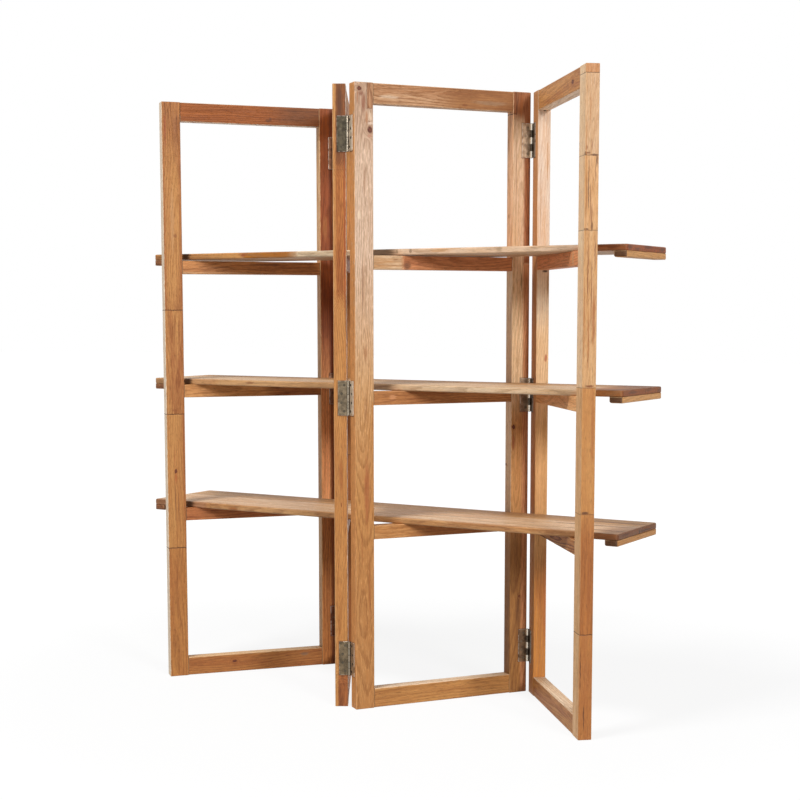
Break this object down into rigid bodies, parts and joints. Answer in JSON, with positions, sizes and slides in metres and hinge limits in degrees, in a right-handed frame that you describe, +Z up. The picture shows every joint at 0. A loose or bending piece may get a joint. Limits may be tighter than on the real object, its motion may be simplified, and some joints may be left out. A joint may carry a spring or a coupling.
{
  "type": "folding bookcase",
  "caption": "Zigzag of hinged open wooden frames, folding like a screen, with loose boards lying through them on their rails as shelves.",
  "frame": {"origin": "on the floor, at the middle of the open object's box in plan", "axes": "+Z up; +X along the boards from frame a to frame d; +Y to the rear, away from the four stiles that stand nearest the viewer"},
  "size_m": [1.6244, 0.507, 1.8],
  "materials": {
    "stile_wood": "oiled solid hardwood, golden brown, finger-jointed lengths",
    "rail_wood": "oiled solid hardwood, golden to reddish brown",
    "board_wood": "oiled solid hardwood planks glued edge to edge, golden tan",
    "batten_wood": "oiled solid hardwood with rounded ends",
    "hinge_steel": "antique pewter-dark steel",
    "screw_steel": "antique dark steel, cross-recessed heads"
  },
  "bodies": {
    "frame_c": {"frame_c_left_stile": "stile_wood", "frame_c_right_stile": "stile_wood", "frame_c_bottom_rail": "rail_wood", "frame_c_lower_shelf_rail": "rail_wood", "frame_c_middle_shelf_rail": "rail_wood", "frame_c_upper_shelf_rail": "rail_wood", "frame_c_top_rail": "rail_wood", "frame_c_hinge_screws": "screw_steel", "hinge_b_c_bottom_leaf_on_c": "hinge_steel", "hinge_b_c_middle_leaf_on_c": "hinge_steel", "hinge_b_c_top_leaf_on_c": "hinge_steel", "hinge_c_d_bottom_leaf_on_c": "hinge_steel", "hinge_c_d_middle_leaf_on_c": "hinge_steel", "hinge_c_d_top_leaf_on_c": "hinge_steel", "hinge_b_c_pins": "hinge_steel", "hinge_c_d_pins": "hinge_steel"},
    "frame_b": {"frame_b_left_stile": "stile_wood", "frame_b_right_stile": "stile_wood", "frame_b_bottom_rail": "rail_wood", "frame_b_lower_shelf_rail": "rail_wood", "frame_b_middle_shelf_rail": "rail_wood", "frame_b_upper_shelf_rail": "rail_wood", "frame_b_top_rail": "rail_wood", "frame_b_hinge_screws": "screw_steel", "hinge_b_c_bottom_leaf_on_b": "hinge_steel", "hinge_b_c_middle_leaf_on_b": "hinge_steel", "hinge_b_c_top_leaf_on_b": "hinge_steel", "hinge_a_b_bottom_leaf_on_b": "hinge_steel", "hinge_a_b_middle_leaf_on_b": "hinge_steel", "hinge_a_b_top_leaf_on_b": "hinge_steel", "hinge_a_b_pins": "hinge_steel"},
    "frame_a": {"frame_a_left_stile": "stile_wood", "frame_a_right_stile": "stile_wood", "frame_a_bottom_rail": "rail_wood", "frame_a_lower_shelf_rail": "rail_wood", "frame_a_middle_shelf_rail": "rail_wood", "frame_a_upper_shelf_rail": "rail_wood", "frame_a_top_rail": "rail_wood", "frame_a_hinge_screws": "screw_steel", "hinge_a_b_bottom_leaf_on_a": "hinge_steel", "hinge_a_b_middle_leaf_on_a": "hinge_steel", "hinge_a_b_top_leaf_on_a": "hinge_steel"},
    "frame_d": {"frame_d_left_stile": "stile_wood", "frame_d_right_stile": "stile_wood", "frame_d_bottom_rail": "rail_wood", "frame_d_lower_shelf_rail": "rail_wood", "frame_d_middle_shelf_rail": "rail_wood", "frame_d_upper_shelf_rail": "rail_wood", "frame_d_top_rail": "rail_wood", "frame_d_hinge_screws": "screw_steel", "hinge_c_d_bottom_leaf_on_d": "hinge_steel", "hinge_c_d_middle_leaf_on_d": "hinge_steel", "hinge_c_d_top_leaf_on_d": "hinge_steel"},
    "lower_shelf": {"lower_shelf_board": "board_wood", "lower_shelf_end_battens": "batten_wood"},
    "middle_shelf": {"middle_shelf_board": "board_wood", "middle_shelf_end_battens": "batten_wood"},
    "upper_shelf": {"upper_shelf_board": "board_wood", "upper_shelf_end_battens": "batten_wood"}
  },
  "joints": [
    {"name": "fold", "type": "hinge", "parent": "frame_c", "child": "frame_b", "pos_m": [-0.00232, -0.23322, 0], "axis": [0, 0, -1], "range_deg": [0, 66.2]},
    {"name": "fold_a_b", "type": "hinge", "parent": "frame_b", "child": "frame_a", "pos_m": [-0.33594, 0.2279, 0], "axis": [0, 0, 1], "range_deg": [0, 70.7]},
    {"name": "fold_c_d", "type": "hinge", "parent": "frame_c", "child": "frame_d", "pos_m": [0.36494, 0.20159, 0], "axis": [0, 0, -1], "range_deg": [0, 75]},
    {"name": "boards_turn", "type": "hinge", "parent": "frame_c", "child": "lower_shelf", "pos_m": [0.18226, -0.01449, 0], "axis": [0, 0, -1], "range_deg": [0, 35.25]},
    {"name": "middle_board_lift", "type": "slide", "parent": "lower_shelf", "child": "middle_shelf", "axis": [0, 0, 1], "range_m": [0, 0.325]},
    {"name": "upper_board_lift", "type": "slide", "parent": "lower_shelf", "child": "upper_shelf", "axis": [0, 0, 1], "range_m": [0, 0.4]}
  ],
  "couplings": [
    {"joint": "fold_a_b", "follows": "fold", "ratio": 1.068},
    {"joint": "fold_c_d", "follows": "fold", "ratio": 1.1329},
    {"joint": "boards_turn", "follows": "fold", "ratio": 0.53248}
  ]
}
